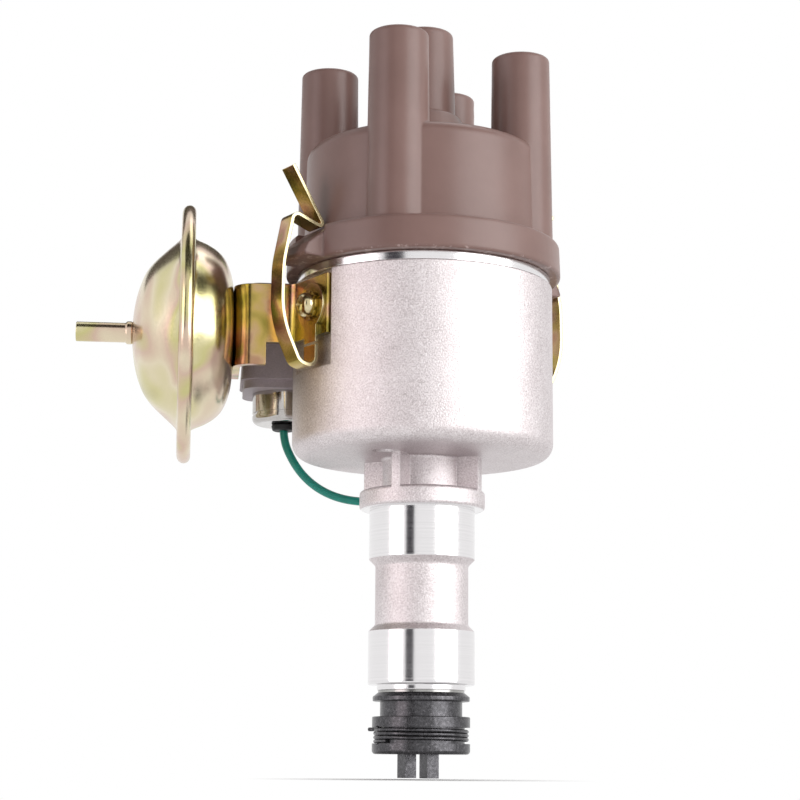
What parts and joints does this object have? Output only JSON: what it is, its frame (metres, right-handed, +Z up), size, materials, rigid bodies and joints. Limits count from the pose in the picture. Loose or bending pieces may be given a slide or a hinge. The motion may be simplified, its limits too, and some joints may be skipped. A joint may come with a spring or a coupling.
{
  "type": "ignition distributor",
  "caption": "Points-type ignition distributor with a clipped insulating cap, side vacuum advance unit, side condenser and a round shank with an offset drive dog.",
  "frame": {"origin": "on the shaft's axis at the underside of the collar that seats on the engine", "axes": "+Z up the shaft's axis to the cap, -X out along the vacuum unit's axis"},
  "size_m": [0.1351, 0.0813, 0.2029],
  "materials": {
    "cast_aluminium": "satin",
    "sintered_bronze": "satin",
    "ground_steel": "satin",
    "phosphated_steel": "matte",
    "passivated_steel": "satin",
    "zinc_plated_steel": "gloss",
    "tinned_steel": "gloss",
    "brown_moulding": "satin",
    "grey_moulding": "satin",
    "brass": "satin",
    "carbon": "matte",
    "felt": "matte",
    "rubber": "matte",
    "green_insulation": "satin",
    "spring_steel": "satin",
    "sintered_iron": "satin"
  },
  "bodies": {
    "housing": {"housing": "cast_aluminium", "upper_bush": "sintered_bronze", "lower_bush": "sintered_bronze", "upper_thrust_washer": "ground_steel", "lower_thrust_washer": "ground_steel", "base_plate": "zinc_plated_steel", "base_plate_screws": "zinc_plated_steel", "vacuum_outer_shell": "zinc_plated_steel", "vacuum_inner_shell": "zinc_plated_steel", "vacuum_diaphragm": "rubber", "vacuum_nipple": "zinc_plated_steel", "vacuum_bracket": "passivated_steel", "condenser_holder": "grey_moulding", "condenser_can": "tinned_steel", "condenser_boot": "rubber", "condenser_lead": "green_insulation", "lead_ring_terminal": "brass", "terminal_insulator": "brown_moulding", "terminal_screw": "brass", "terminal_nuts": "brass", "clip_foot_front": "passivated_steel", "clip_foot_rear": "passivated_steel", "clip_screws": "passivated_steel", "clip_lock_washers": "passivated_steel"},
    "cap": {"cap": "brown_moulding", "side_electrodes": "brass", "centre_terminal": "brass", "brush_spring": "spring_steel"},
    "brush": {"carbon_brush": "carbon"},
    "clip_front": {"clip_front": "passivated_steel"},
    "clip_rear": {"clip_rear": "passivated_steel"},
    "shaft": {"drive_shaft": "ground_steel", "action_plate": "zinc_plated_steel", "advance_springs": "spring_steel", "drive_dog": "phosphated_steel", "dog_pin": "ground_steel", "dog_retaining_spring": "phosphated_steel", "cam_screw": "zinc_plated_steel"},
    "flyweight_a": {"flyweight_a": "sintered_iron"},
    "flyweight_b": {"flyweight_b": "sintered_iron"},
    "cam": {"cam_foot_plate": "zinc_plated_steel", "cam_sleeve": "ground_steel", "breaker_cam": "ground_steel", "oil_felt": "felt", "rotor_arm": "brown_moulding", "rotor_blade": "brass"},
    "breaker_plate": {"breaker_plate": "zinc_plated_steel", "fixed_contact": "zinc_plated_steel", "contact_screw": "zinc_plated_steel", "contact_spring": "spring_steel"},
    "contact_arm": {"contact_arm": "zinc_plated_steel"},
    "vacuum_link": {"vacuum_link": "zinc_plated_steel", "vacuum_hub_plates": "zinc_plated_steel", "vacuum_spring": "spring_steel"}
  },
  "joints": [
    {"name": "cap_lift", "type": "slide", "parent": "housing", "child": "cap", "axis": [0, 0, 1], "range_m": [0, 0.0171]},
    {"name": "clip_front_swing", "type": "hinge", "parent": "housing", "child": "clip_front", "pos_m": [-0.03324, -0.01768, 0.037], "axis": [0.4695, -0.8829, 0], "range_deg": [0, 38]},
    {"name": "clip_rear_swing", "type": "hinge", "parent": "housing", "child": "clip_rear", "pos_m": [0.03324, 0.01768, 0.037], "axis": [-0.4695, 0.8829, 0], "range_deg": [0, 38]},
    {"name": "brush_travel", "type": "slide", "parent": "cap", "child": "brush", "axis": [0, 0, 1], "range_m": [0, 0.0015], "deforming": ["brush_spring"]},
    {"name": "shaft_turn", "type": "hinge", "parent": "housing", "child": "shaft", "pos_m": [0, 0, 0], "axis": [0, 0, 1], "continuous": true},
    {"name": "centrifugal_advance", "type": "hinge", "parent": "shaft", "child": "cam", "pos_m": [0, 0, 0], "axis": [0, 0, 1], "range_deg": [-7.8, 0]},
    {"name": "flyweight_a_swing", "type": "hinge", "parent": "shaft", "child": "flyweight_a", "pos_m": [0.016, 0, 0], "axis": [0, 0, 1], "range_deg": [0, 14]},
    {"name": "flyweight_b_swing", "type": "hinge", "parent": "shaft", "child": "flyweight_b", "pos_m": [-0.016, 0, 0], "axis": [0, 0, 1], "range_deg": [0, 14]},
    {"name": "breaker_plate_turn", "type": "hinge", "parent": "housing", "child": "breaker_plate", "pos_m": [0, 0, 0], "axis": [0, 0, 1], "range_deg": [0, 9.65]},
    {"name": "vacuum_link_pull", "type": "slide", "parent": "housing", "child": "vacuum_link", "axis": [-1, 0, 0], "range_m": [0, 0.0031]},
    {"name": "contact_arm_swing", "type": "hinge", "parent": "breaker_plate", "child": "contact_arm", "pos_m": [0.016, -0.016, 0], "axis": [0, 0, 1], "range_deg": [-0.85, 0]}
  ],
  "couplings": [
    {"joint": "clip_front_swing", "follows": "cap_lift", "rad_per_m": 38.78},
    {"joint": "clip_rear_swing", "follows": "cap_lift", "rad_per_m": 38.78},
    {"joint": "flyweight_a_swing", "follows": "centrifugal_advance", "ratio": -1.79},
    {"joint": "flyweight_b_swing", "follows": "centrifugal_advance", "ratio": -1.79},
    {"joint": "vacuum_link_pull", "follows": "breaker_plate_turn", "m_per_rad": 0.0179}
  ]
}
